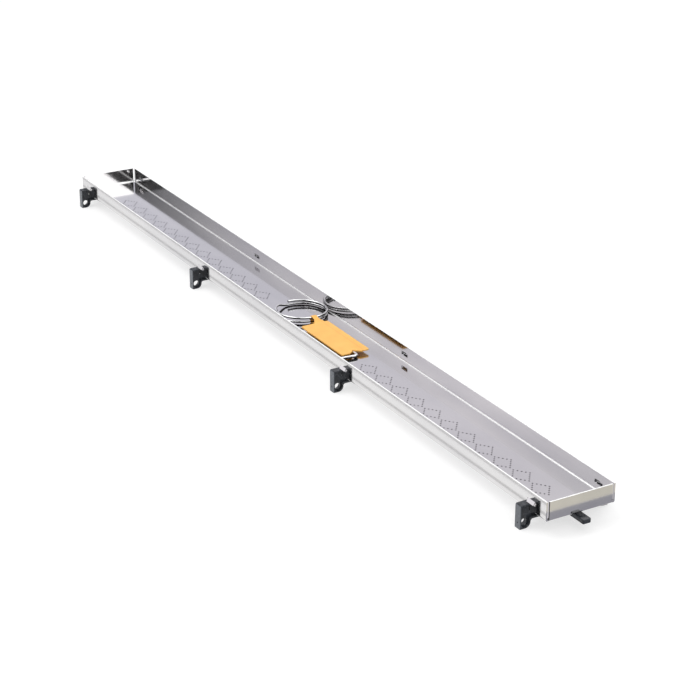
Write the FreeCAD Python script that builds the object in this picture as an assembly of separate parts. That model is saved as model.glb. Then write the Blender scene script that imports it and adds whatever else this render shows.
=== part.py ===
import FreeCAD, Part
import math
import os
from FreeCAD import Vector

# Tile tray of a linear shower drain, carried on moulded saddles, with its lifting key lying in it.
# Millimetres, +Z up, +X along the tray. Origin: centre of the plan, on the plane the feet stand on.

# Tray, one folded stainless sheet
tray_length = 700.0
tray_width = 50.0
wall_height = 12.9
sheet = 1.0
bend_inside = 0.25
seam_gap = 1.1          # open seam between the end of an end wall and the long wall
seam_setback = 0.5      # a long wall stops this far short of the tray's end

# Lanced tongues, one over each saddle leg, hinged at the top and pressed outwards
station_inset = 15.5    # outer tongues' middle from the end of the tray
station_count = 4
tongue_width = 6.8
tongue_drop = 2.2
tongue_lean = 1.2
tongue_slit = 0.6
tongue_lift = 0.4       # tongue edge above the saddle's top face

# Saddles, moulded in one piece, a cross arm with a leg at each side
saddle_thickness = 6.1
saddle_shift = -3.1     # saddle's middle from the tongue's middle
saddle_fit = 0.2        # leg to wall
leg_depth = 7.1
leg_top = 5.3           # above the tray's underside
foot_drop = 10.6        # tray's underside above the ground
boss_radius = 3.9
boss_inset = 0.6        # boss reaches this far in under the tray's wall
arm_fillet = 1.5
crown_radius = 1.2
web = 1.6
front_pocket = 1.9      # depth of the pockets in the +X face
rim = 0.8
pocket_corner = 2.5
lower_flange = 1.6
stiffener = 1.2
stiffener_pitch = 8.4
stiffener_count = 5
eye_radius = 2.2
gate_radius = 0.55
gate_depth = 0.3
edge_round = 0.4

# Centring fingers of the two outer saddles
finger_reach = 6.5      # beyond the end of the tray
finger_width = 6.0
finger_thickness = 3.0
finger_gap = 1.5        # below the tray
finger_round = 1.0

# Split ring of the lifting key
ring_radius = 18.9
wire = 1.75
turn_gap = 0.05
ring_splay = 1.3        # how far the turns stand apart at the widest
splay_angle = -90.0     # where that is, from +X
jog_angle = 42.0
split_angle = 183.0     # where the upper turn ends, from +X
ring_x = -0.8
ring_side_gap = 0.7     # ring to the tray's wall behind it
ring_lie = 0.2          # ring above the tray's floor at its far side

# Strap of the key, folded round the ring and bonded flat
ply = 0.45
strap_length = 59.6
strap_width = 22.0
strap_corner = 1.2
neck_width = 4.0
neck_root = 8.4
neck_length = 8.8
loop_clear = 0.15
strap_shift = 4.225     # strap's middle line to the front of the ring's
notch_width = 8.6
notch_depth = 4.0

# Hook of the key, bent wire held between the plies
hook_wire = 2.2
hook_fit = 0.05
hook_hold = 20.0        # wire inside the strap
hook_reach = 6.9        # notch to the middle of the foot
hook_foot = 17.0
hook_bend = 2.6
hook_slant = 6.0        # degrees the foot leans back beyond the right angle

# Levels and places worked out from the sizes above
underside = foot_drop
floor_level = underside + sheet
rim_level = underside + wall_height
half_length = tray_length / 2
half_width = tray_width / 2
bend_outside = bend_inside + sheet
station_pitch = (tray_length - 2 * station_inset) / (station_count - 1)
stations = [station_inset - half_length + station_pitch * i for i in range(station_count)]
leg_inner = half_width + saddle_fit
leg_outer = leg_inner + leg_depth
boss_y = leg_inner - boss_inset + boss_radius
boss_z = boss_radius
arm_bottom = boss_z + arm_fillet
saddle_top = underside + leg_top
tongue_edge = saddle_top + tongue_lift


def box(x0, x1, y0, y1, z0, z1):
    return Part.makeBox(x1 - x0, y1 - y0, z1 - z0, Vector(x0, y0, z0))


def line(a, b):
    return Part.LineSegment(a, b).toShape()


def arc(centre, radius, start, end, plane="yz"):
    """Arc by angles in degrees, counted from the plane's first axis."""
    points = []
    for angle in (start, (start + end) / 2, end):
        first = radius * math.cos(math.radians(angle))
        second = radius * math.sin(math.radians(angle))
        step = Vector(0, first, second) if plane == "yz" else Vector(first, 0, second)
        points.append(centre + step)
    return Part.Arc(*points).toShape()


def face(edges):
    return Part.Face(Part.Wire(Part.__sortEdges__(edges)))


def along_x(outline, x0, x1):
    outline.translate(Vector(x0, 0, 0))
    return outline.extrude(Vector(x1 - x0, 0, 0))


def mirrored_y(shape):
    return shape.mirror(Vector(0, 0, 0), Vector(0, 1, 0))


# ---------------------------------------------------------------- tray

def rounded_trough(length, width, level, top, radius):
    block = box(-length / 2, length / 2, -width / 2, width / 2, level, top)
    bottom = [e for e in block.Edges if all(abs(v.Z - level) < 1e-6 for v in e.Vertexes)]
    return block.makeFillet(radius, bottom)


def corner_seam():
    """What is cut away at the corner in +X, +Y so that the walls stay separate flaps."""
    inner_y = half_width - sheet - seam_gap
    outer = box(half_length - seam_setback, half_length + 1, inner_y, half_width + 1,
                underside - 1, rim_level + 1)
    slot = box(half_length - bend_outside, half_length - seam_setback, inner_y, half_width - sheet,
               floor_level + bend_inside, rim_level + 1)
    return outer.fuse(slot)


def tongue_window(x, side):
    half = tongue_width / 2 + tongue_slit
    low, high = sorted((side * (half_width - 2 * sheet), side * (half_width + sheet)))
    return box(x - half, x + half, low, high, tongue_edge - tongue_slit, tongue_edge + tongue_drop)


def tongue(x, side):
    hinge = tongue_edge + tongue_drop
    inner = half_width - sheet
    corners = [(inner, hinge), (half_width, hinge),
               (half_width + tongue_lean, tongue_edge), (inner + tongue_lean, tongue_edge)]
    points = [Vector(x - tongue_width / 2, side * y, z) for y, z in corners]
    flap = Part.Face(Part.makePolygon(points + points[:1]))
    return flap.extrude(Vector(tongue_width, 0, 0))


def make_tray():
    shell = rounded_trough(tray_length, tray_width, underside, rim_level, bend_outside)
    inside = rounded_trough(tray_length - 2 * sheet, tray_width - 2 * sheet, floor_level,
                            rim_level + 5, bend_inside)
    tray = shell.cut(inside)
    seam = corner_seam()
    for other in (seam, mirrored_y(seam)):
        tray = tray.cut(other)
        tray = tray.cut(other.mirror(Vector(0, 0, 0), Vector(1, 0, 0)))
    for x in stations:
        for side in (-1, 1):
            tray = tray.cut(tongue_window(x, side))
            tray = tray.fuse(tongue(x, side))
    return tray.removeSplitter()


# ---------------------------------------------------------------- saddles

def saddle_outline():
    """Outline across the tray: two legs on rounded feet, joined by the arm under the tray."""
    crown = Vector(0, leg_outer - crown_radius, saddle_top - crown_radius)
    boss = Vector(0, boss_y, boss_z)
    boss_inner = boss_y - boss_radius
    hollow = Vector(0, boss_inner - arm_fillet, boss_z)
    half = [
        line(Vector(0, 0, underside), Vector(0, leg_inner, underside)),
        line(Vector(0, leg_inner, underside), Vector(0, leg_inner, saddle_top)),
        line(Vector(0, leg_inner, saddle_top), Vector(0, crown.y, saddle_top)),
        arc(crown, crown_radius, 90, 0),
        line(Vector(0, leg_outer, crown.z), Vector(0, leg_outer, 0)),
        line(Vector(0, leg_outer, 0), Vector(0, boss_y, 0)),
        arc(boss, boss_radius, 270, 180),
        arc(hollow, arm_fillet, 0, 90),
        line(Vector(0, hollow.y, arm_bottom), Vector(0, 0, arm_bottom)),
    ]
    return face(half + [mirrored_y(edge) for edge in half])


def leg_pocket(first_stiffener):
    """Recess of one leg, open towards the tray and running on under it to the first stiffener."""
    flange_top = arm_bottom + lower_flange
    boss_side = boss_y - boss_radius + rim
    recess = boss_radius - rim
    front = leg_outer - rim
    top = saddle_top - rim
    turn = math.degrees(math.acos(min(1.0, (front - boss_y) / recess)))
    turn_z = boss_z - recess * math.sin(math.radians(turn))
    corner = Vector(0, front - pocket_corner, top - pocket_corner)
    start = first_stiffener + stiffener / 2
    open_side = half_width
    edges = [
        line(Vector(0, start, flange_top), Vector(0, boss_side, flange_top)),
        line(Vector(0, boss_side, flange_top), Vector(0, boss_side, boss_z)),
        arc(Vector(0, boss_y, boss_z), recess, 180, 360 - turn),
        line(Vector(0, front, turn_z), Vector(0, front, corner.z)),
        arc(corner, pocket_corner, 0, 90),
        line(Vector(0, corner.y, top), Vector(0, open_side, top)),
        line(Vector(0, open_side, top), Vector(0, open_side, underside + 1)),
        line(Vector(0, open_side, underside + 1), Vector(0, start, underside + 1)),
        line(Vector(0, start, underside + 1), Vector(0, start, flange_top)),
    ]
    return face(edges)


def arm_pockets(ribs):
    pockets = []
    for left, right in zip(ribs, ribs[1:]):
        pockets.append(box(0, 1, left + stiffener / 2, right - stiffener / 2,
                           arm_bottom + lower_flange, underside + 1))
    return pockets


def make_saddle(x, finger_side=0):
    low_x = x - saddle_thickness / 2
    high_x = x + saddle_thickness / 2
    back_pocket = saddle_thickness - web - front_pocket
    body = along_x(saddle_outline(), low_x, high_x)
    ends = [e for e in body.Edges
            if abs(e.BoundBox.XLength) < 1e-6 and e.BoundBox.YMax > leg_outer - crown_radius - 0.1]
    body = body.makeChamfer(edge_round, ends + mirrored_edges(body, ends))
    ribs = [stiffener_pitch * (i - (stiffener_count - 1) / 2) for i in range(stiffener_count)]
    for start, depth in ((high_x - front_pocket, front_pocket + 1), (low_x - 1, back_pocket + 1)):
        pocket = along_x(leg_pocket(ribs[-1]), start, start + depth)
        body = body.cut(pocket).cut(mirrored_y(pocket))
        for cell in arm_pockets(ribs):
            size = cell.BoundBox
            body = body.cut(box(start, start + depth, size.YMin, size.YMax, size.ZMin, size.ZMax))
    for side in (-1, 1):
        eye = Part.makeCylinder(eye_radius, saddle_thickness + 2,
                                Vector(low_x - 1, side * boss_y, boss_z), Vector(1, 0, 0))
        gate = Part.makeCylinder(gate_radius, gate_depth + 1,
                                 Vector(x, side * (leg_outer - gate_depth), boss_z), Vector(0, side, 0))
        body = body.cut(eye).cut(gate)
    if finger_side:
        body = body.fuse(make_finger(x, finger_side))
    return body.removeSplitter()


def mirrored_edges(body, edges):
    """Edges of body that mirror the given ones across the tray's middle plane."""
    found = []
    for edge in edges:
        centre = edge.CenterOfMass
        target = Vector(centre.x, -centre.y, centre.z)
        found += [e for e in body.Edges if e.CenterOfMass.distanceToPoint(target) < 1e-4]
    return found


def make_finger(x, side):
    tip = side * (half_length + finger_reach)
    low, high = sorted((x, tip))
    top = underside - finger_gap
    bar = box(low, high, -finger_width / 2, finger_width / 2, top - finger_thickness, top)
    corners = [e for e in bar.Edges
               if abs(e.CenterOfMass.x - tip) < 1e-6 and e.BoundBox.ZLength > finger_thickness / 2]
    bar = bar.makeFillet(finger_round, corners)
    tip_edges = [e for e in bar.Edges if e.BoundBox.ZLength < 1e-6
                 and abs(abs(e.CenterOfMass.x) - abs(tip)) < finger_round]
    return bar.makeChamfer(finger_round / 3, tip_edges)


# ---------------------------------------------------------------- lifting key

def turn_pitch(angle):
    """Distance between the two turns' centre lines, by the angle from +X in degrees."""
    return wire + turn_gap + ring_splay * (1 + math.cos(math.radians(angle - splay_angle))) / 2


neck_sagitta = ring_radius - math.sqrt(ring_radius ** 2 - (neck_width / 2) ** 2)
neck_pitch = turn_pitch(-math.degrees(neck_width / 2 / ring_radius))
loop_inner = math.hypot(neck_sagitta, neck_pitch / 2) + wire / 2 + loop_clear
loop_outer = loop_inner + ply
ring_y = half_width - sheet - ring_side_gap - wire / 2 - ring_radius
strap_y = ring_y - strap_shift
pivot = Vector(ring_x + ring_radius, ring_y, floor_level + loop_outer)
sleeve_radius = hook_wire / 2 + hook_fit + ply
hook_level = floor_level + sleeve_radius
strap_level = hook_level + sleeve_radius - ply
strap_start = pivot.x + neck_length
strap_end = strap_start + strap_length


def coil_point(angle, upper):
    """Point of a turn's centre line, the upper turn lying on a tilted plane."""
    level = pivot.z - turn_pitch(0) / 2 + (turn_pitch(angle) if upper else 0)
    x = ring_x + ring_radius * math.cos(math.radians(angle))
    y = ring_y + ring_radius * math.sin(math.radians(angle))
    return Vector(x, y, level)


def turn_arc(upper):
    start = split_angle + jog_angle
    end = split_angle + 360
    return Part.Arc(*[coil_point(a, upper) for a in (start, (start + end) / 2, end)])


def arc_between(start, corner, end):
    """Arc that leaves start towards corner and reaches end from it."""
    weight = start.distanceToPoint(end) / 2 / start.distanceToPoint(corner)
    middle = (start + corner * (2 * weight) + end) / (2 + 2 * weight)
    return Part.Arc(start, middle, end).toShape()


def jog(start, start_tangent, end, end_tangent):
    """Two arcs that carry the wire smoothly from one turn up to the next."""
    gap = end - start
    pull = gap.dot(start_tangent + end_tangent)
    spread = 1 - start_tangent.dot(end_tangent)
    reach = (math.sqrt(pull ** 2 + 2 * spread * gap.dot(gap)) - pull) / (2 * spread)
    first = start + start_tangent * reach
    second = end - end_tangent * reach
    middle = (first + second) / 2
    return [arc_between(start, first, middle), arc_between(middle, second, end)]


def make_ring():
    low = turn_arc(False)
    high = turn_arc(True)
    low_end = low.LastParameter
    high_start = high.FirstParameter
    lead = jog(low.value(low_end), low.tangent(low_end)[0],
               high.value(high_start), high.tangent(high_start)[0])
    spine = Part.Wire([low.toShape()] + lead + [high.toShape()])
    start = low.FirstParameter
    section = Part.Wire(Part.makeCircle(wire / 2, low.value(start), low.tangent(start)[0]))
    coil = spine.makePipeShell([section], True, False)
    lift = pivot.z - turn_pitch(0) / 2 - wire / 2 - floor_level - ring_lie
    coil.rotate(pivot, Vector(0, 1, 0), -math.degrees(math.asin(lift / (2 * ring_radius))))
    return coil


def teardrop(radius, apex_x, apex_half):
    """Round loop about the pivot whose two sides run tangent to the flat strap."""
    dx = apex_x - pivot.x
    dz_top = strap_level + apex_half - pivot.z
    dz_low = strap_level - apex_half - pivot.z
    top = tangent_angle(dx, dz_top, radius, 1)
    low = tangent_angle(dx, dz_low, radius, -1)
    upper = pivot + Vector(radius * math.cos(top), 0, radius * math.sin(top))
    lower = pivot + Vector(radius * math.cos(low), 0, radius * math.sin(low))
    tip_top = Vector(apex_x, pivot.y, strap_level + apex_half)
    tip_low = Vector(apex_x, pivot.y, strap_level - apex_half)
    edges = [line(tip_top, upper),
             Part.Arc(upper, pivot + Vector(-radius, 0, 0), lower).toShape(),
             line(lower, tip_low)]
    if apex_half > 0:
        edges.append(line(tip_low, tip_top))
    return face(edges)


def tangent_angle(dx, dz, radius, side):
    reach = math.hypot(dx, dz)
    return math.atan2(dz, dx) + side * math.acos(radius / reach)


def strap_blank():
    """Flat outline of the strap seen from above, with its neck and its notch."""
    low = strap_y - strap_width / 2
    high = strap_y + strap_width / 2
    middle = ring_y
    notch_tip = Vector(strap_end - notch_depth, strap_y, 0)
    points = [
        Vector(strap_start, low, 0),
        Vector(strap_start, middle - neck_root / 2, 0),
        Vector(strap_start - neck_length / 2, middle - neck_width / 2, 0),
        Vector(strap_start - neck_length - loop_outer - 1, middle - neck_width / 2, 0),
        Vector(strap_start - neck_length - loop_outer - 1, middle + neck_width / 2, 0),
        Vector(strap_start - neck_length / 2, middle + neck_width / 2, 0),
        Vector(strap_start, middle + neck_root / 2, 0),
        Vector(strap_start, high, 0),
        Vector(strap_end, high, 0),
        Vector(strap_end, strap_y + notch_width / 2, 0),
        notch_tip,
        Vector(strap_end, strap_y - notch_width / 2, 0),
        Vector(strap_end, low, 0),
    ]
    blank = Part.Face(Part.makePolygon(points + points[:1]))
    blank.translate(Vector(0, 0, underside))
    solid = blank.extrude(Vector(0, 0, wall_height + 5))
    corners = [e for e in solid.Edges if e.BoundBox.ZLength > 1 and strap_corner_at(e)]
    return solid.makeFillet(strap_corner, corners)


def strap_corner_at(edge):
    centre = edge.CenterOfMass
    at_end = min(abs(centre.x - strap_start), abs(centre.x - strap_end)) < 1e-6
    return at_end and abs(abs(centre.y - strap_y) - strap_width / 2) < 1e-6


def hook_path(start_x):
    """Centre line: straight shank, one bend, straight foot."""
    bend_x = strap_end - notch_depth + hook_reach - hook_bend
    centre = Vector(bend_x, strap_y - hook_bend, hook_level)
    turn = math.radians(90 + hook_slant)
    half = turn / 2
    run_end = centre + Vector(0, hook_bend, 0)
    bend_mid = centre + Vector(math.sin(half), math.cos(half), 0) * hook_bend
    foot_start = centre + Vector(math.sin(turn), math.cos(turn), 0) * hook_bend
    foot_run = hook_foot - hook_bend
    foot_end = foot_start + Vector(math.cos(turn), -math.sin(turn), 0) * foot_run
    return [line(Vector(start_x, strap_y, hook_level), run_end),
            Part.Arc(run_end, bend_mid, foot_start).toShape(),
            line(foot_start, foot_end)]


def make_hook():
    start_x = strap_end - notch_depth - hook_hold
    path = hook_path(start_x)
    tips = [path[0].Vertexes[0].Point, path[-1].Vertexes[-1].Point]
    section = Part.Wire(Part.makeCircle(hook_wire / 2, tips[0], Vector(1, 0, 0)))
    rod = Part.Wire(path).makePipeShell([section], True, False)
    rims = [e for e in rod.Edges if e.isClosed()
            and min(e.CenterOfMass.distanceToPoint(tip) for tip in tips) < 1e-4]
    return rod.makeChamfer(hook_wire / 6, rims)


def make_sleeve():
    """Round swelling of the lower ply under the wire, closed by a half ball."""
    start_x = strap_end - notch_depth - hook_hold
    centre = Vector(start_x, strap_y, hook_level)
    tube = Part.makeCylinder(sleeve_radius, hook_hold + notch_depth, centre, Vector(1, 0, 0))
    return tube.fuse(Part.makeSphere(sleeve_radius, centre))


def make_strap():
    long_face = teardrop(loop_outer, strap_start, ply)
    long_face.translate(Vector(0, -strap_width, 0))
    loop = long_face.extrude(Vector(0, 2 * strap_width, 0))
    flat = box(strap_start - 0.01, strap_end, strap_y - strap_width, strap_y + strap_width,
               strap_level - ply, strap_level + ply)
    hollow = teardrop(loop_inner, strap_start - ply, 0)
    hollow.translate(Vector(0, -strap_width, 0))
    hollow = hollow.extrude(Vector(0, 2 * strap_width, 0))
    strap = loop.fuse(flat).fuse(make_sleeve()).cut(hollow)
    strap = strap.common(strap_blank())
    start_x = strap_end - notch_depth - hook_hold - hook_fit
    socket = Part.makeCylinder(hook_wire / 2 + hook_fit, hook_hold + 2 * notch_depth,
                               Vector(start_x, strap_y, hook_level), Vector(1, 0, 0))
    return strap.cut(socket).removeSplitter()


# ---------------------------------------------------------------- files

def export(name, shape):
    if not shape.isValid() or len(shape.Solids) != 1:
        raise ValueError("%s: valid %s, solids %d" % (name, shape.isValid(), len(shape.Solids)))
    shape.Solids[0].exportStep("parts/%s.step" % name)
    print("%-14s %9.1f mm3" % (name, shape.Volume))


os.makedirs("parts", exist_ok=True)
export("tray", make_tray())
for number, station in enumerate(stations, 1):
    finger_side = {1: -1, station_count: 1}.get(number, 0)
    export("saddle_%d" % number, make_saddle(station + saddle_shift, finger_side))
export("lift_ring", make_ring())
export("grip_strap", make_strap())
export("lift_hook", make_hook())
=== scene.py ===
import math

import bpy
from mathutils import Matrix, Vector


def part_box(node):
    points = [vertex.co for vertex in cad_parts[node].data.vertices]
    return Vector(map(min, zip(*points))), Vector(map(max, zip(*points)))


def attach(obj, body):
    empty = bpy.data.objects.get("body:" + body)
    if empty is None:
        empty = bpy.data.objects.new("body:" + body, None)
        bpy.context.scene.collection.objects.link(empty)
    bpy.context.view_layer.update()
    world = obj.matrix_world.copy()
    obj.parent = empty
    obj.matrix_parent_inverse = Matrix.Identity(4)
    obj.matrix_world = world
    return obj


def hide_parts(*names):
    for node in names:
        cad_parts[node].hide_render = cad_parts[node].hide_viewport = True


# Tile tray of a shower drain on its four saddles, with the lifting key lying in it
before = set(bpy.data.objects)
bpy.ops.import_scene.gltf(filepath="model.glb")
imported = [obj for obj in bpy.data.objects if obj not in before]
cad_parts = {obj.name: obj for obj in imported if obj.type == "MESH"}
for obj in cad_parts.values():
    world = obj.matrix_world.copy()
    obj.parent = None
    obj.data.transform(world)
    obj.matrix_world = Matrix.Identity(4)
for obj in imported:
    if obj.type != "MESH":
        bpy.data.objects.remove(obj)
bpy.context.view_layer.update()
print("frame loaded")


def deselectAll():
    if bpy.context.object and bpy.context.object.mode != "OBJECT":
        bpy.ops.object.mode_set(mode="OBJECT")
    bpy.ops.object.select_all(action="DESELECT")


def makeActive(piece):
    deselectAll()
    piece.select_set(True)
    bpy.context.view_layer.objects.active = piece


def applyModifiers(piece):
    makeActive(piece)
    for modifier in list(piece.modifiers):
        bpy.ops.object.modifier_apply(modifier=modifier.name)


def settle(piece):
    makeActive(piece)
    bpy.ops.object.transform_apply(location=True, rotation=True, scale=True)


def selectFaces(piece, wanted):
    # leaves edit mode on, with only the wanted faces selected
    makeActive(piece)
    bpy.ops.object.mode_set(mode="EDIT")
    bpy.ops.mesh.select_all(action="DESELECT")
    bpy.ops.object.mode_set(mode="OBJECT")
    for face in piece.data.polygons:
        face.select = wanted(face)
    bpy.ops.object.mode_set(mode="EDIT")


def takeOver(node, name, body):
    # own copy of a frame node, welded and with its flat areas made whole
    piece = bpy.data.objects.new(name, bpy.data.objects[node].data.copy())
    bpy.context.collection.objects.link(piece)
    piece.data.materials.clear()
    makeActive(piece)
    bpy.ops.object.mode_set(mode="EDIT")
    bpy.ops.mesh.select_all(action="SELECT")
    bpy.ops.mesh.remove_doubles(threshold=0.000002)
    bpy.ops.mesh.normals_make_consistent(inside=False)
    bpy.ops.mesh.dissolve_limited(angle_limit=math.radians(0.5))
    bpy.ops.object.mode_set(mode="OBJECT")
    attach(piece, body)
    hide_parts(node)
    return piece


def softenEdges(piece, width, segments, angle, edgeSlot=-1):
    bevel = piece.modifiers.new("edges", "BEVEL")
    bevel.material = edgeSlot
    bevel.width = width
    bevel.segments = segments
    bevel.limit_method = "ANGLE"
    bevel.angle_limit = math.radians(angle)
    bevel.miter_outer = "MITER_ARC"
    bevel.use_clamp_overlap = True
    applyModifiers(piece)
    makeActive(piece)
    bpy.ops.object.shade_smooth_by_angle(angle=math.radians(angle + 5))
    level = piece.modifiers.new("flat faces stay flat", "WEIGHTED_NORMAL")
    level.weight = 100
    level.keep_sharp = True
    applyModifiers(piece)


def newMaterial(name):
    material = bpy.data.materials.new(name)
    material.use_nodes = True
    nodes = material.node_tree.nodes
    return material, nodes, material.node_tree.links, nodes["Principled BSDF"]


def objectNoise(nodes, links, stretch, scale, detail=4.0):
    # noise on the piece's own coordinates, stretched per axis
    place = nodes.new("ShaderNodeTexCoord")
    mapping = nodes.new("ShaderNodeMapping")
    mapping.inputs["Scale"].default_value = stretch
    noise = nodes.new("ShaderNodeTexNoise")
    noise.inputs["Scale"].default_value = scale
    noise.inputs["Detail"].default_value = detail
    links.new(place.outputs["Object"], mapping.inputs["Vector"])
    links.new(mapping.outputs["Vector"], noise.inputs["Vector"])
    return noise


def ramp(nodes, links, source, stops):
    node = nodes.new("ShaderNodeValToRGB")
    node.color_ramp.elements[0].position = stops[0][0]
    node.color_ramp.elements[0].color = stops[0][1]
    node.color_ramp.elements[1].position = stops[-1][0]
    node.color_ramp.elements[1].color = stops[-1][1]
    for position, colour in stops[1:-1]:
        node.color_ramp.elements.new(position).color = colour
    links.new(source, node.inputs["Fac"])
    return node


def bump(nodes, links, height, strength, distance, shader):
    node = nodes.new("ShaderNodeBump")
    node.inputs["Strength"].default_value = strength
    node.inputs["Distance"].default_value = distance
    links.new(height, node.inputs["Height"])
    links.new(node.outputs["Normal"], shader.inputs["Normal"])
    return node


def grey(level):
    return (level, level, level, 1.0)


def grained(name, metal, stretch, scale, detail, stops, rough, relief):
    # one noise gives both the tint and the fine relief
    material, nodes, links, shader = newMaterial(name)
    shader.inputs["Metallic"].default_value = metal
    shader.inputs["Roughness"].default_value = rough
    noise = objectNoise(nodes, links, stretch, scale, detail)
    tint = ramp(nodes, links, noise.outputs["Fac"], stops)
    links.new(tint.outputs["Color"], shader.inputs["Base Color"])
    bump(nodes, links, noise.outputs["Fac"], *relief, shader)
    return material, shader


# folded stainless tray; "wall" is the outer face of its long walls, tongues stand out past it
trayLow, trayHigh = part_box("tray")
tray = {"edge": 0.00012, "edgeSteps": 2, "edgeAngle": 24,
        "colour": (0.72, 0.71, 0.71, 1.0), "shade": (0.60, 0.595, 0.61, 1.0),
        "gloss": 0.07, "haze": 0.13, "sheet": 0.001, "seam": 0.00119,
        "wall": 0.025, "skin": 0.00098, "seamDepth": 0.00135, "rimDepth": 0.00015,
        "foldRadius": 0.0008, "foldSteps": 6, "foldSheet": 0.0001, "foldGap": 0.0001,
        "foldHeight": 0.006}


def stainlessSteel():
    material, nodes, links, shader = newMaterial("stainlessSheet")
    shader.inputs["Metallic"].default_value = 1.0
    cloud = objectNoise(nodes, links, (0.6, 2.0, 2.0), 14.0, 3.0)
    tint = ramp(nodes, links, cloud.outputs["Fac"], [(0.3, tray["shade"]), (0.7, tray["colour"])])
    links.new(tint.outputs["Color"], shader.inputs["Base Color"])
    grain = objectNoise(nodes, links, (1.0, 60.0, 60.0), 55.0, 6.0)  # runs along the tray
    polish = ramp(nodes, links, grain.outputs["Fac"],
                  [(0.25, grey(tray["gloss"])), (0.8, grey(tray["haze"]))])
    links.new(polish.outputs["Color"], shader.inputs["Roughness"])
    bump(nodes, links, grain.outputs["Fac"], 0.05, 0.00002, shader)
    return material


def seamPaintedShade():
    # faces inside the open corner seams, painted dark as painted shade, so that the gap reads
    return grained("seamPaintedShade", 0.0, (1.0, 1.0, 1.0), 800.0, 3.0,
                   [(0.3, grey(0.006)), (0.8, grey(0.03))], 0.7, (0.3, 0.00005))[0]


def foldPaintedHighlight():
    # the fold is painted brighter than the sheet, a painted highlight on the rounded fold
    return grained("foldPaintedHighlight", 1.0, (0.5, 4.0, 4.0), 300.0, 3.0,
                   [(0.3, grey(0.92)), (0.8, grey(1.0))], 0.32, (0.08, 0.00002))[0]


def rimPaintedHighlight():
    # dull-cut top edge of the sheet, painted bright as a painted highlight along the rim
    return grained("rimPaintedHighlight", 0.6, (1.0, 8.0, 8.0), 400.0, 3.0,
                   [(0.3, grey(0.86)), (0.8, grey(1.0))], 0.6, (0.15, 0.00003))[0]


def makeTray(steel):
    piece = takeOver("tray", "foldedTray", "tray")
    softenEdges(piece, tray["edge"], tray["edgeSteps"], tray["edgeAngle"])
    piece.data.materials.append(steel)
    piece.data.materials.append(seamPaintedShade())
    piece.data.materials.append(rimPaintedHighlight())
    endX = trayHigh.x - tray["seamDepth"]
    outerY = tray["wall"] - tray["skin"]
    innerY = outerY - tray["seam"]
    for face in piece.data.polygons:
        # faces inside the corner seams take slot 1, the painted shade
        inSeam = abs(face.center.x) > endX and innerY < abs(face.center.y) < outerY
        if inSeam and abs(face.normal.z) < 0.5 and abs(face.normal.x) < 0.9:
            face.material_index = 1
        # top faces of the rim take slot 2, the painted highlight
        elif face.center.z > trayHigh.z - tray["rimDepth"] and face.normal.z > 0.3:
            face.material_index = 2
    return piece


def makeFoldLine(foldSteel):
    # rounded inside of the folds, all round the floor
    inset = 2 * (tray["sheet"] + tray["foldGap"])
    length = trayHigh.x - trayLow.x - inset
    width = 2 * tray["wall"] - inset
    height = tray["foldHeight"]
    low = trayLow.z + tray["sheet"] + tray["foldGap"]
    deselectAll()
    bpy.ops.mesh.primitive_cube_add(size=1.0, location=(0, 0, low + height / 2))
    piece = bpy.context.object
    piece.name = "foldLine"
    piece.scale = (length, width, height)
    settle(piece)
    makeActive(piece)
    bpy.ops.object.mode_set(mode="EDIT")
    bpy.ops.mesh.select_all(action="DESELECT")
    bpy.ops.object.mode_set(mode="OBJECT")
    for edge in piece.data.edges:
        ends = [piece.data.vertices[i].co for i in edge.vertices]
        edge.select = all(end.z < low + height / 2 for end in ends)
    bpy.ops.object.mode_set(mode="EDIT")
    bpy.ops.mesh.select_mode(type="EDGE")
    bpy.ops.mesh.bevel(offset=tray["foldRadius"], segments=tray["foldSteps"], profile=0.5)
    bpy.ops.mesh.select_mode(type="FACE")
    top = low + height
    flat = [(0, 0, 1), (0, 0, -1), (1, 0, 0), (-1, 0, 0), (0, 1, 0), (0, -1, 0)]
    selectFaces(piece, lambda face: max(face.normal.dot(Vector(way)) for way in flat) > 0.9999
                or face.center.z > top - height / 4)
    bpy.ops.mesh.delete(type="FACE")
    bpy.ops.mesh.select_all(action="SELECT")
    bpy.ops.mesh.flip_normals()
    bpy.ops.object.mode_set(mode="OBJECT")
    shell = piece.modifiers.new("sheet", "SOLIDIFY")
    shell.thickness = tray["foldSheet"]
    shell.offset = -1.0
    applyModifiers(piece)
    makeActive(piece)
    bpy.ops.object.shade_smooth_by_angle(angle=math.radians(35))
    piece.data.materials.append(foldSteel)
    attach(piece, "tray")
    return piece


steel = stainlessSteel()
foldedTray = makeTray(steel)
foldLine = makeFoldLine(foldPaintedHighlight())
print("tray made")


# dotted pattern pricked into the tray's floor, in two runs
dots = {"radius": 0.00055, "proud": 0.00003, "sides": 10, "perSide": 4,
        "halfLong": 0.0085, "halfWide": 0.0066, "pitch": 0.0205, "middle": -0.0045,
        "runs": ((-0.305, -0.035), (0.100, 0.346)), "colour": (0.015, 0.015, 0.018, 1.0)}


def lozengePoints():
    corners = [(-1, 0), (0, 1), (1, 0), (0, -1)]
    points = []
    for i, (ax, ay) in enumerate(corners):
        bx, by = corners[(i + 1) % 4]
        for step in range(dots["perSide"]):
            part = step / dots["perSide"]
            points.append((dots["halfLong"] * (ax + (bx - ax) * part),
                           dots["halfWide"] * (ay + (by - ay) * part)))
    return points


def prickedSteel():
    material, shader = grained("prickedSteel", 0.2, (1.0, 1.0, 1.0), 900.0, 2.0,
                               [(0.3, dots["colour"]), (0.8, grey(0.06))], 0.7, (0.3, 0.00005))
    shader.inputs["Specular IOR Level"].default_value = 0.2
    return material


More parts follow.
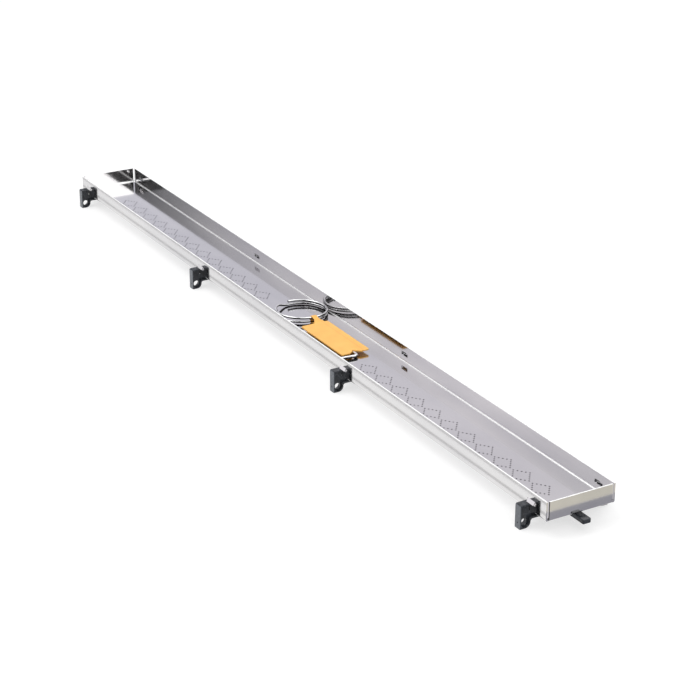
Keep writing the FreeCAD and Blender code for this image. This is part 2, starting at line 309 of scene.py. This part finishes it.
def makeDots(floorLevel):
    deselectAll()
    bpy.ops.mesh.primitive_circle_add(vertices=dots["sides"], radius=dots["radius"],
                                      fill_type="NGON", location=(0, 0, 0))
    dot = bpy.context.object
    bpy.ops.object.mode_set(mode="EDIT")
    bpy.ops.mesh.extrude_region_move(TRANSFORM_OT_translate={"value": (0, 0, 2 * dots["proud"])})
    bpy.ops.mesh.inset(thickness=dots["radius"] * 0.45, depth=-dots["proud"])
    bpy.ops.object.mode_set(mode="OBJECT")
    made = []
    for start, end in dots["runs"]:
        count = int((end - start) / dots["pitch"])
        for i in range(count):
            for dx, dy in lozengePoints():
                copy = bpy.data.objects.new("dot", dot.data.copy())
                copy.location = (start + (i + 0.5) * dots["pitch"] + dx, dots["middle"] + dy,
                                 floorLevel - dots["proud"])
                bpy.context.collection.objects.link(copy)
                made.append(copy)
    bpy.data.objects.remove(dot)
    deselectAll()
    for copy in made:
        copy.select_set(True)
    bpy.context.view_layer.objects.active = made[0]
    bpy.ops.object.join()
    piece = bpy.context.object
    piece.name = "floorDots"
    settle(piece)
    piece.data.materials.append(prickedSteel())
    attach(piece, "tray")
    return piece


floorDots = makeDots(trayLow.z + tray["sheet"])
print("floor pattern made")


# moulded saddles, two outer and two inner
saddles = {"edge": 0.00022, "edgeSteps": 2, "edgeAngle": 30,
           "colour": (0.020, 0.023, 0.028, 1.0), "worn": (0.056, 0.062, 0.074, 1.0),
           "outerPaintedLight": (0.165, 0.180, 0.205, 1.0), "paintedHighlight": (0.20, 0.22, 0.25, 1.0),
           "roughLow": 0.16, "roughHigh": 0.32, "outerFrom": 0.00035, "outerTo": 0.00005}


def mouldedPlastic():
    material, nodes, links, shader = newMaterial("mouldedPlastic")
    cloud = objectNoise(nodes, links, (1.0, 1.0, 1.0), 260.0, 4.0)
    tint = ramp(nodes, links, cloud.outputs["Fac"],
                [(0.35, saddles["colour"]), (0.75, saddles["worn"])])
    # outer faces of the legs are painted paler than the rest, painted light on that side; sets off
    # their fronts
    place = nodes.new("ShaderNodeTexCoord")
    apart = nodes.new("ShaderNodeSeparateXYZ")
    links.new(place.outputs["Object"], apart.inputs["Vector"])
    out = nodes.new("ShaderNodeMath")
    out.operation = "ABSOLUTE"
    links.new(apart.outputs["Y"], out.inputs[0])
    reach = nodes.new("ShaderNodeMapRange")
    reach.inputs["From Min"].default_value = saddleFace - saddles["outerFrom"]
    reach.inputs["From Max"].default_value = saddleFace - saddles["outerTo"]
    links.new(out.outputs["Value"], reach.inputs["Value"])
    outer = nodes.new("ShaderNodeMix")
    outer.data_type = "RGBA"
    outer.inputs["B"].default_value = saddles["outerPaintedLight"]
    links.new(reach.outputs["Result"], outer.inputs["Factor"])
    links.new(tint.outputs["Color"], outer.inputs["A"])
    links.new(outer.outputs["Result"], shader.inputs["Base Color"])
    rough = ramp(nodes, links, cloud.outputs["Fac"],
                 [(0.3, grey(saddles["roughLow"])), (0.7, grey(saddles["roughHigh"]))])
    links.new(rough.outputs["Color"], shader.inputs["Roughness"])
    shader.inputs["Specular IOR Level"].default_value = 0.35
    texture = objectNoise(nodes, links, (1.0, 1.0, 1.0), 2600.0, 2.0)
    bump(nodes, links, texture.outputs["Fac"], 0.12, 0.00005, shader)
    return material


def paintedHighlightPlastic():
    # corners rubbed smooth, and painted a little paler as a painted highlight
    return grained("paintedHighlightPlastic", 0.0, (1.0, 1.0, 1.0), 500.0, 3.0,
                   [(0.35, saddles["worn"]), (0.7, saddles["paintedHighlight"])], 0.18, (0.05, 0.00003))[0]


def makeSaddles():
    plastic = mouldedPlastic()
    paintedHighlightEdge = paintedHighlightPlastic()
    made = []
    for number in range(1, 5):
        node = "saddle_%d" % number
        piece = takeOver(node, "mouldedSaddle%d" % number, "tray")
        # the bevelled corners take slot 1, the painted highlight
        softenEdges(piece, saddles["edge"], saddles["edgeSteps"], saddles["edgeAngle"], 1)
        piece.data.materials.append(plastic)
        piece.data.materials.append(paintedHighlightEdge)
        made.append(piece)
    return made


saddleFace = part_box("saddle_1")[1].y
mouldedSaddles = makeSaddles()
print("saddles made")


# lifting key: split ring, folded strap and wire hook
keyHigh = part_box("grip_strap")[1]
key = {"strapEdge": 0.00016, "strapSteps": 3, "wireAngle": 40,
       "strap": (1.0, 0.56, 0.130, 1.0), "strapShade": (1.0, 0.50, 0.095, 1.0),
       "chrome": (0.80, 0.80, 0.81, 1.0), "chromeShade": (0.66, 0.66, 0.68, 1.0),
       "sideShade": 0.05, "seam": (0.80, 0.36, 0.08, 1.0), "seamInset": 0.0044,
       "seamWidth": 0.00015}


def chromeWire(name, low, high):
    material, nodes, links, shader = newMaterial(name)
    shader.inputs["Metallic"].default_value = 1.0
    cloud = objectNoise(nodes, links, (1.0, 1.0, 1.0), 300.0, 3.0)
    tint = ramp(nodes, links, cloud.outputs["Fac"],
                [(0.3, key["chromeShade"]), (0.7, key["chrome"])])
    # painted dark by the surface's own direction, standing in for the dark room that
    # bright wire mirrors along its sides; sideShade 1.0 gives the plain metal back
    place = nodes.new("ShaderNodeTexCoord")
    apart = nodes.new("ShaderNodeSeparateXYZ")
    links.new(place.outputs["Normal"], apart.inputs["Vector"])
    side = ramp(nodes, links, apart.outputs["Z"], [(0.22, grey(key["sideShade"])), (0.50, grey(1.0))])
    shaded = nodes.new("ShaderNodeMix")
    shaded.data_type = "RGBA"
    shaded.blend_type = "MULTIPLY"
    shaded.inputs["Factor"].default_value = 1.0
    links.new(tint.outputs["Color"], shaded.inputs["A"])
    links.new(side.outputs["Color"], shaded.inputs["B"])
    links.new(shaded.outputs["Result"], shader.inputs["Base Color"])
    rough = ramp(nodes, links, cloud.outputs["Fac"], [(0.3, grey(low)), (0.8, grey(high))])
    links.new(rough.outputs["Color"], shader.inputs["Roughness"])
    bump(nodes, links, cloud.outputs["Fac"], 0.03, 0.00005, shader)
    return material


def strapPlastic(seamY):
    # gloss sheet, its surface faintly grained, with the line of the bond along one edge
    material, nodes, links, shader = newMaterial("strapPlastic")
    cloud = objectNoise(nodes, links, (1.0, 1.0, 1.0), 120.0, 4.0)
    tint = ramp(nodes, links, cloud.outputs["Fac"],
                [(0.3, key["strapShade"]), (0.7, key["strap"])])
    place = nodes.new("ShaderNodeTexCoord")
    apart = nodes.new("ShaderNodeSeparateXYZ")
    links.new(place.outputs["Object"], apart.inputs["Vector"])
    offset = nodes.new("ShaderNodeMath")
    offset.operation = "SUBTRACT"
    offset.inputs[1].default_value = seamY
    links.new(apart.outputs["Y"], offset.inputs[0])
    away = nodes.new("ShaderNodeMath")
    away.operation = "ABSOLUTE"
    links.new(offset.outputs["Value"], away.inputs[0])
    near = nodes.new("ShaderNodeMath")
    near.operation = "LESS_THAN"
    near.inputs[1].default_value = key["seamWidth"]
    links.new(away.outputs["Value"], near.inputs[0])
    seam = nodes.new("ShaderNodeMix")
    seam.data_type = "RGBA"
    seam.inputs["B"].default_value = key["seam"]
    links.new(near.outputs["Value"], seam.inputs["Factor"])
    links.new(tint.outputs["Color"], seam.inputs["A"])
    links.new(seam.outputs["Result"], shader.inputs["Base Color"])
    rough = ramp(nodes, links, cloud.outputs["Fac"], [(0.3, grey(0.28)), (0.8, grey(0.42))])
    links.new(rough.outputs["Color"], shader.inputs["Roughness"])
    grain = objectNoise(nodes, links, (1.0, 1.0, 1.0), 1400.0, 3.0)
    bump(nodes, links, grain.outputs["Fac"], 0.15, 0.00006, shader)
    shader.inputs["Coat Weight"].default_value = 0.05
    shader.inputs["Specular IOR Level"].default_value = 0.35
    shader.inputs["Coat Roughness"].default_value = 0.12
    return material


def makeKey():
    ring = takeOver("lift_ring", "splitRing", "ring")
    hook = takeOver("lift_hook", "wireHook", "tray")
    for wirePiece in (ring, hook):
        makeActive(wirePiece)
        bpy.ops.object.shade_smooth_by_angle(angle=math.radians(key["wireAngle"]))
    ring.data.materials.append(chromeWire("ringChrome", 0.05, 0.12))
    hook.data.materials.append(chromeWire("hookSteel", 0.08, 0.18))
    strap = takeOver("grip_strap", "gripStrap", "tray")
    softenEdges(strap, key["strapEdge"], key["strapSteps"], 30)
    strap.data.materials.append(strapPlastic(keyHigh.y - key["seamInset"]))
    return ring, hook, strap


splitRing, wireHook, gripStrap = makeKey()
print("lifting key made")


# studio: pale floor, three soft lamps, and cards that only the metal shows
studio = {"floorSize": 6.0, "floorColour": (0.46, 0.46, 0.46, 1.0), "floorGlow": 0.62,
          "skyLight": 0.60, "background": 1.0, "stripLift": 0.0006, "stripStep": 0.0001,
          # name, place, size, power
          "lamps": (("keyBox", (-0.35, -0.75, 1.6), 1.2, 11.5),
                    ("fillBox", (1.1, -0.2, 1.0), 0.9, 3.0),
                    ("backBox", (-0.2, 0.75, 1.5), 1.0, 5.0)),
          # name, turn round the tray, rise, distance, width, height, colour from left to right
          "flags": (("darkFlag", 50, 33, 2.0, 4.2, 2.4, ((0.0, (0.012, 0.012, 0.012)),)),
                    ("backFlag", 240, 20, 2.0, 2.6, 0.9, ((0.3, (0.78, 0.75, 0.80)),
                                                          (0.7, (0.74, 0.74, 0.82)))),
                    ("leftFlag", 300, 20, 2.1, 2.4, 0.9,
                     ((0.33, (0.16, 0.16, 0.17)), (0.37, (0.42, 0.42, 0.44)),
                      (0.42, (0.86, 0.85, 0.90)), (0.50, (1.06, 1.04, 1.08)),
                      (0.58, (1.24, 1.21, 1.26)), (0.66, (1.06, 1.04, 1.09)))),
                    ("farWindow", 120, 22, 2.1, 1.3, 1.2, ((0.0, (2.2, 2.2, 2.2)),))),
          # name, x from, x to, y from, y to, brightness: card strips lying on the floor
          "strips": (("endStripNear", 0.350, 0.3745, -0.040, 0.065, (0.38, 0.38, 0.42)),
                     ("endStripFar", 0.3745, 0.430, -0.040, 0.085, (0.76, 0.73, 0.64)),
                     ("sideLine", -0.60, 0.40, -0.0505, -0.0490, (0.50, 0.50, 0.50)),
                     ("sideBand", -0.60, 0.40, -0.0420, -0.0400, (0.66, 0.66, 0.66)))}


def seenDirectly(nodes, links):
    # 1 for rays from the camera, from gloss and through glass
    path = nodes.new("ShaderNodeLightPath")
    first = nodes.new("ShaderNodeMath")
    first.operation = "MAXIMUM"
    second = nodes.new("ShaderNodeMath")
    second.operation = "MAXIMUM"
    links.new(path.outputs["Is Camera Ray"], first.inputs[0])
    links.new(path.outputs["Is Glossy Ray"], first.inputs[1])
    links.new(first.outputs["Value"], second.inputs[0])
    links.new(path.outputs["Is Transmission Ray"], second.inputs[1])
    return second.outputs["Value"]


def makeWorld():
    world = bpy.data.worlds.new("studioSky")
    bpy.context.scene.world = world
    world.use_nodes = True
    nodes, links = world.node_tree.nodes, world.node_tree.links
    light = nodes["Background"]
    light.inputs["Color"].default_value = (1.0, 1.0, 1.0, 1.0)
    light.inputs["Strength"].default_value = studio["skyLight"]
    seen = nodes.new("ShaderNodeBackground")
    seen.inputs["Color"].default_value = (1.0, 1.0, 1.0, 1.0)
    seen.inputs["Strength"].default_value = studio["background"]
    mix = nodes.new("ShaderNodeMixShader")
    links.new(seenDirectly(nodes, links), mix.inputs["Fac"])
    links.new(light.outputs["Background"], mix.inputs[1])
    links.new(seen.outputs["Background"], mix.inputs[2])
    links.new(mix.outputs["Shader"], nodes["World Output"].inputs["Surface"])


def makeFloor():
    deselectAll()
    bpy.ops.mesh.primitive_plane_add(size=studio["floorSize"], location=(0, 0, 0))
    floor = bpy.context.object
    floor.name = "studioFloor"
    material, nodes, links, shader = newMaterial("paleFloor")
    shader.inputs["Base Color"].default_value = studio["floorColour"]
    shader.inputs["Roughness"].default_value = 0.9
    shader.inputs["Specular IOR Level"].default_value = 0.0
    glow = nodes.new("ShaderNodeEmission")
    glow.inputs["Color"].default_value = (1.0, 1.0, 1.0, 1.0)
    strength = nodes.new("ShaderNodeMath")
    strength.operation = "MULTIPLY"
    strength.inputs[1].default_value = studio["floorGlow"]
    links.new(seenDirectly(nodes, links), strength.inputs[0])
    links.new(strength.outputs["Value"], glow.inputs["Strength"])
    add = nodes.new("ShaderNodeAddShader")
    links.new(shader.outputs["BSDF"], add.inputs[0])
    links.new(glow.outputs["Emission"], add.inputs[1])
    links.new(add.outputs["Shader"], nodes["Material Output"].inputs["Surface"])
    floor.data.materials.append(material)


def outwards(turn, rise):
    # turn is counted round the tray from its front, in degrees, as the rise is
    turn, rise = math.radians(turn), math.radians(rise)
    return Vector((math.sin(turn) * math.cos(rise), -math.cos(turn) * math.cos(rise), math.sin(rise)))


def makeLamps():
    middle = Vector((0, 0, 0.01))
    for name, place, size, power in studio["lamps"]:
        bpy.ops.object.light_add(type="AREA", location=place)
        lamp = bpy.context.object
        lamp.name = name
        lamp.data.shape = "SQUARE"
        lamp.data.size = size
        lamp.data.energy = power
        lamp.rotation_euler = (Vector(place) - middle).to_track_quat("Z", "Y").to_euler()


def makeCard(name, place, wide, high, stops):
    # seen only in the metal: what a mirror finish shows round it
    bpy.ops.mesh.primitive_plane_add(size=1.0, location=place)
    card = bpy.context.object
    card.name = name
    card.scale = (wide, high, 1.0)
    material, nodes, links, shader = newMaterial(name)
    shader.inputs["Base Color"].default_value = (0, 0, 0, 1)
    shader.inputs["Roughness"].default_value = 1.0
    shader.inputs["Specular IOR Level"].default_value = 0.0
    shader.inputs["Emission Strength"].default_value = 1.0
    shader.inputs["Emission Color"].default_value = stops[0][1]
    if len(stops) > 1:
        across = nodes.new("ShaderNodeTexCoord")
        apart = nodes.new("ShaderNodeSeparateXYZ")
        links.new(across.outputs["Object"], apart.inputs["Vector"])
        shifted = nodes.new("ShaderNodeMath")
        shifted.inputs[1].default_value = 0.5
        links.new(apart.outputs["X"], shifted.inputs[0])
        glow = ramp(nodes, links, shifted.outputs["Value"], stops)
        links.new(glow.outputs["Color"], shader.inputs["Emission Color"])
    card.data.materials.append(material)
    card.visible_camera = False
    card.visible_diffuse = False
    card.visible_shadow = False
    return card


def makeCards():
    middle = Vector((0, 0, 0.01))
    for name, turn, rise, away, wide, high, steps in studio["flags"]:
        back = outwards(turn, rise)
        stops = [(position, (*colour, 1.0)) for position, colour in steps]
        card = makeCard(name, middle + back * away, wide, high, stops)
        card.rotation_euler = back.to_track_quat("Z", "Y").to_euler()
    # each strip lies a little higher than the one before, so none fights another
    for i, (name, x0, x1, y0, y1, glow) in enumerate(studio["strips"]):
        height = studio["stripLift"] + studio["stripStep"] * i
        place = Vector(((x0 + x1) / 2, (y0 + y1) / 2, height))
        makeCard(name, place, x1 - x0, y1 - y0, [(0.0, (*glow, 1.0))])


def makeCamera():
    view = {"target": (0.0743, 0.0017, 0.0111), "azimuth": 60.07, "elevation": 23.4,
            "distance": 1.3256, "lens": 96.53}
    back = outwards(view["azimuth"], view["elevation"])
    bpy.ops.object.camera_add(location=Vector(view["target"]) + back * view["distance"])
    camera = bpy.context.object
    camera.rotation_euler = back.to_track_quat("Z", "Y").to_euler()
    camera.data.lens = view["lens"]
    camera.data.sensor_width = 36.0
    bpy.context.scene.camera = camera


makeWorld()
makeFloor()
makeLamps()
makeCards()
makeCamera()
bpy.context.scene.view_settings.view_transform = "Standard"
print("studio made")
